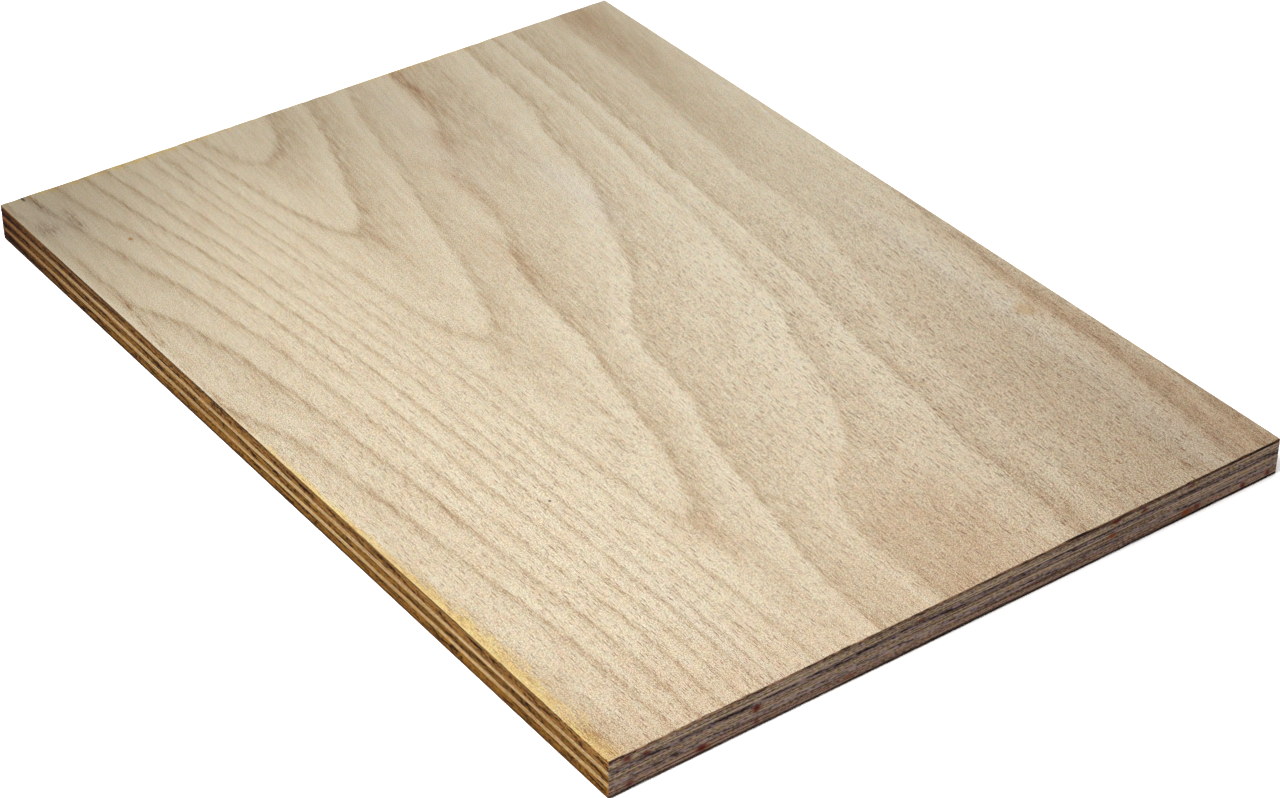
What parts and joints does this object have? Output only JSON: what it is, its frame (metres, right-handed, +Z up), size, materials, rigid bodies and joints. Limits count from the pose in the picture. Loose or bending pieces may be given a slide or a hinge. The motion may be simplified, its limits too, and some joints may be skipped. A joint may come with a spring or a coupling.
{
  "type": "plywood sheet",
  "caption": "Flat rectangular plywood panel of cross-laid beech veneers with square sawn edges, used as sheet stock for shelves, boxes and furniture.",
  "frame": {"origin": "middle of the underside", "axes": "+X along the length and the grain of the face veneer, +Y across the width, +Z up out of the face veneer"},
  "size_m": [0.4, 0.286, 0.015],
  "materials": {
    "outer_veneer": "matte",
    "crossband": "matte",
    "long_ply": "matte"
  },
  "bodies": {
    "root": {"back_veneer": "outer_veneer", "lower_crossband": "crossband", "lower_long_ply": "long_ply", "core_crossband": "crossband", "upper_long_ply": "long_ply", "upper_crossband": "crossband", "face_veneer": "outer_veneer"}
  },
  "joints": []
}
